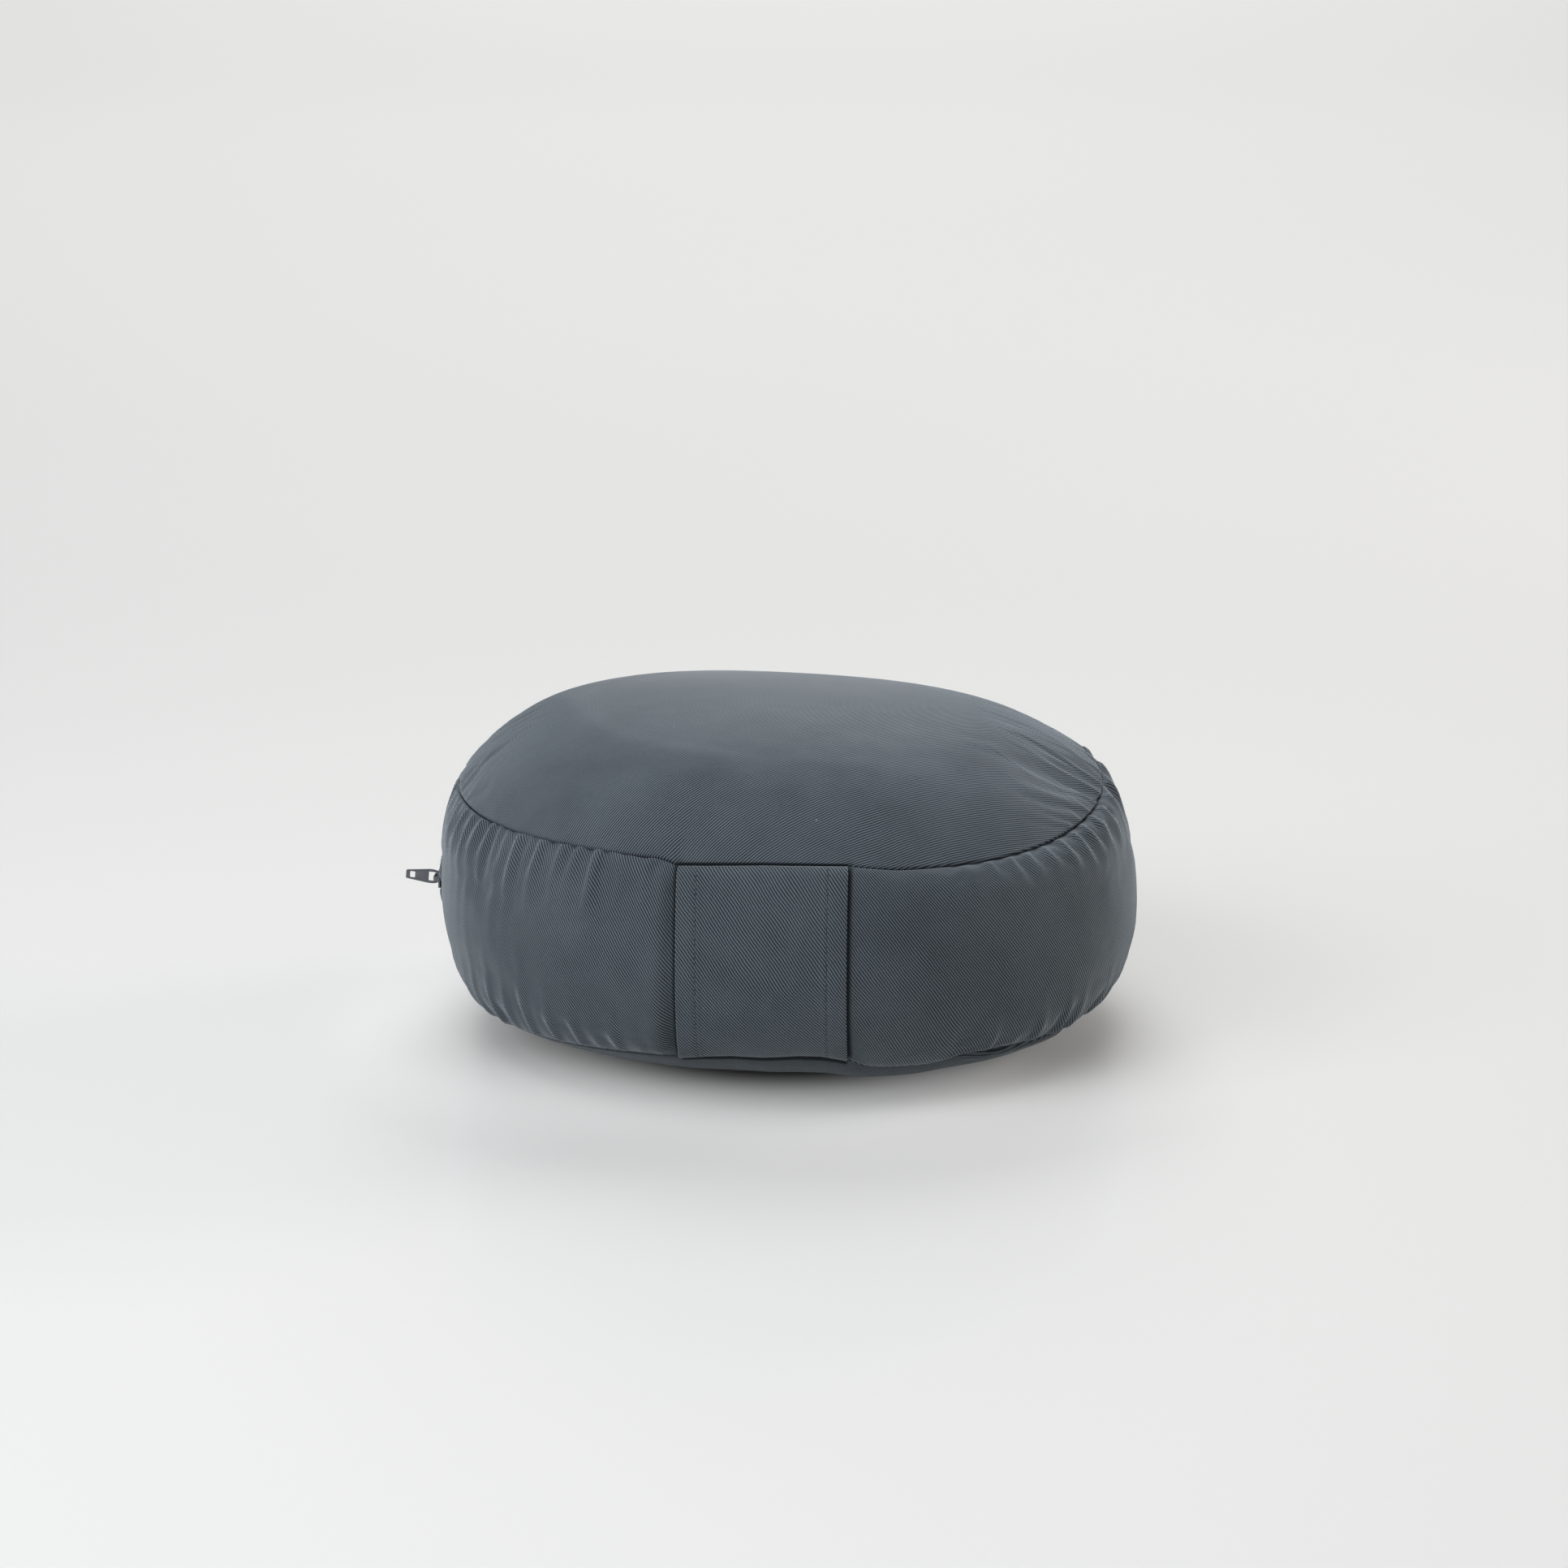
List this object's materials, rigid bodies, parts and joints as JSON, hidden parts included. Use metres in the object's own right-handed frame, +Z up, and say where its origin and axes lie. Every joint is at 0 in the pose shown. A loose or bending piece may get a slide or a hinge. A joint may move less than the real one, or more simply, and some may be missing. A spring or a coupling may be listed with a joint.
{
  "type": "zafu meditation cushion",
  "caption": "Round filled floor cushion with a crowned top, a gathered side band, a flat carry strap and a zip round the back.",
  "frame": {"origin": "centre of the flat face that the cushion rests on", "axes": "+Z up through the crown, -Y towards the carry strap, zip round the +Y side"},
  "size_m": [0.3814, 0.3678, 0.173],
  "materials": {
    "twill": "slate blue-grey cotton twill, matt, soft nap",
    "zip_coil": "dark grey nylon coil on woven tape",
    "zip_metal": "grey enamel, half matt"
  },
  "bodies": {
    "root": {"cushion": "twill", "carry_strap": "twill", "zip_chain": "zip_coil", "zip_slider": "zip_metal", "zip_pull": "zip_metal"}
  },
  "joints": []
}
